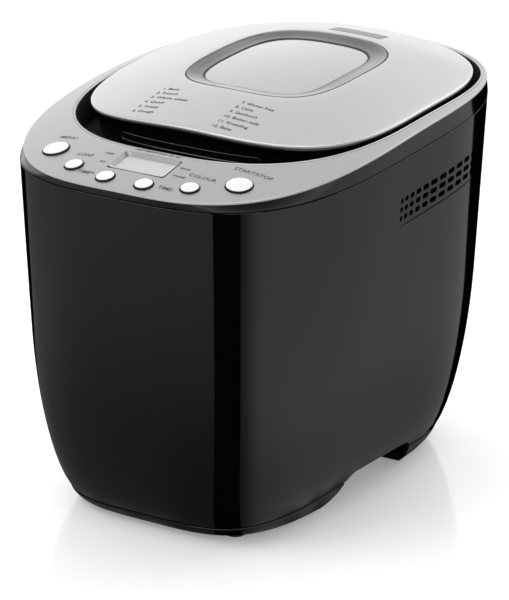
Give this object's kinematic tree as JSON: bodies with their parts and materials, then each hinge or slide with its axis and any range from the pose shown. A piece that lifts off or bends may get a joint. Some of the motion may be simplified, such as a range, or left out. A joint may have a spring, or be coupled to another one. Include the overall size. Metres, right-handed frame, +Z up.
{
  "type": "bread machine",
  "caption": "Countertop bread maker: rounded black tub, sloping silver deck with buttons and display, hinged domed lid with window, lift-out pan with bail and driven kneading paddle.",
  "frame": {"origin": "middle of the footprint, on the surface that the feet stand on", "axes": "+Z up, +X to the right of someone facing the control panel, the panel faces -Y and the lid hinge is at +Y"},
  "size_m": [0.2544, 0.3484, 0.2892],
  "materials": {
    "gloss_black": "moulded black plastic, high gloss",
    "satin_black": "moulded black plastic, fine satin",
    "silver_paint": "fine metallic silver lacquer, satin",
    "dark_chrome": "dark smoked chrome plating",
    "clear_glass": "clear, polished",
    "galvanised_steel": "bright zinc plated sheet and rod",
    "aluminium": "plain pressed or cast aluminium",
    "coated_metal": "dark grey non-stick coating",
    "rubber": "matt black rubber",
    "circuit_green": "green circuit board laminate",
    "pale_button": "pale silver lacquered plastic",
    "nylon": "natural glass filled nylon"
  },
  "bodies": {
    "root": {"body_shell": "gloss_black", "base_plinth": "gloss_black", "top_band": "gloss_black", "deck_panel": "silver_paint", "display_window": "clear_glass", "display_module": "satin_black", "control_board": "circuit_green", "hinge_bracket_left": "satin_black", "hinge_bracket_right": "satin_black", "hinge_pin_left": "galvanised_steel", "hinge_pin_right": "galvanised_steel", "oven_chamber": "galvanised_steel", "heating_element": "galvanised_steel", "temperature_sensor": "galvanised_steel", "pan_socket": "aluminium", "chassis_plate": "galvanised_steel", "drive_bearing": "aluminium", "drive_belt": "rubber", "motor": "galvanised_steel", "power_board": "circuit_green", "cord_gland": "rubber", "foot_front_left": "rubber", "foot_front_right": "rubber", "foot_rear_left": "rubber", "foot_rear_right": "rubber", "base_screw_front_left": "galvanised_steel", "base_screw_front_right": "galvanised_steel", "base_screw_rear_left": "galvanised_steel", "base_screw_rear_right": "galvanised_steel", "chamber_standoff_front_left": "galvanised_steel", "chamber_standoff_front_right": "galvanised_steel", "chamber_standoff_rear_left": "galvanised_steel", "chamber_standoff_rear_right": "galvanised_steel"},
    "lid": {"lid_top_plate": "silver_paint", "window_bezel": "dark_chrome", "window_glass": "clear_glass", "lid_shell": "gloss_black", "lid_liner": "aluminium", "inner_glass": "clear_glass", "hinge_knuckle": "silver_paint"},
    "pan": {"bread_pan": "coated_metal", "pan_base_ring": "aluminium", "pan_bearing": "aluminium"},
    "bail": {"pan_handle": "galvanised_steel"},
    "paddle": {"kneading_paddle": "coated_metal", "pan_shaft": "galvanised_steel"},
    "drive": {"drive_shaft": "galvanised_steel", "drive_coupler": "aluminium", "large_pulley": "nylon"},
    "rotor": {"motor_shaft": "galvanised_steel", "small_pulley": "aluminium"},
    "button_menu": {"button_menu": "pale_button"},
    "button_loaf_size": {"button_loaf_size": "pale_button"},
    "button_time_plus": {"button_time_plus": "pale_button"},
    "button_time_minus": {"button_time_minus": "pale_button"},
    "button_crust_colour": {"button_crust_colour": "pale_button"},
    "button_start_stop": {"button_start_stop": "pale_button"}
  },
  "joints": [
    {"name": "lid_hinge", "type": "hinge", "parent": "root", "child": "lid", "pos_m": [0, 0.1622, 0.2685], "axis": [-1, 0, 0], "range_deg": [0, 90]},
    {"name": "pan_lift", "type": "slide", "parent": "root", "child": "pan", "axis": [0, 0, 1], "range_m": [0, 0.045]},
    {"name": "bail_swing", "type": "hinge", "parent": "pan", "child": "bail", "pos_m": [0, 0.03, 0.18], "axis": [0, -1, 0], "range_deg": [0, 146]},
    {"name": "drive_turn", "type": "hinge", "parent": "root", "child": "drive", "pos_m": [0, 0.03, 0.0135], "axis": [0, 0, 1], "continuous": true},
    {"name": "paddle_turn", "type": "hinge", "parent": "pan", "child": "paddle", "pos_m": [0, 0.03, 0.0715], "axis": [0, 0, 1], "continuous": true},
    {"name": "rotor_turn", "type": "hinge", "parent": "root", "child": "rotor", "pos_m": [0, -0.1155, 0.0135], "axis": [0, 0, 1], "continuous": true},
    {"name": "button_menu_press", "type": "slide", "parent": "root", "child": "button_menu", "axis": [0.0925, 0.2156, -0.9721], "range_m": [0, 0.0012], "stiffness_N_per_m": 300, "springref_m": -0.001},
    {"name": "button_loaf_size_press", "type": "slide", "parent": "root", "child": "button_loaf_size", "axis": [0.0583, 0.2327, -0.9708], "range_m": [0, 0.0012], "stiffness_N_per_m": 300, "springref_m": -0.001},
    {"name": "button_time_plus_press", "type": "slide", "parent": "root", "child": "button_time_plus", "axis": [0.0193, 0.2406, -0.9704], "range_m": [0, 0.0012], "stiffness_N_per_m": 300, "springref_m": -0.001},
    {"name": "button_time_minus_press", "type": "slide", "parent": "root", "child": "button_time_minus", "axis": [-0.0193, 0.2406, -0.9704], "range_m": [0, 0.0012], "stiffness_N_per_m": 300, "springref_m": -0.001},
    {"name": "button_crust_colour_press", "type": "slide", "parent": "root", "child": "button_crust_colour", "axis": [-0.0583, 0.2327, -0.9708], "range_m": [0, 0.0012], "stiffness_N_per_m": 300, "springref_m": -0.001},
    {"name": "button_start_stop_press", "type": "slide", "parent": "root", "child": "button_start_stop", "axis": [-0.0925, 0.2156, -0.9721], "range_m": [0, 0.0012], "stiffness_N_per_m": 300, "springref_m": -0.001}
  ],
  "couplings": [
    {"joint": "paddle_turn", "follows": "drive_turn", "ratio": 1},
    {"joint": "rotor_turn", "follows": "drive_turn", "ratio": 6.5714}
  ]
}
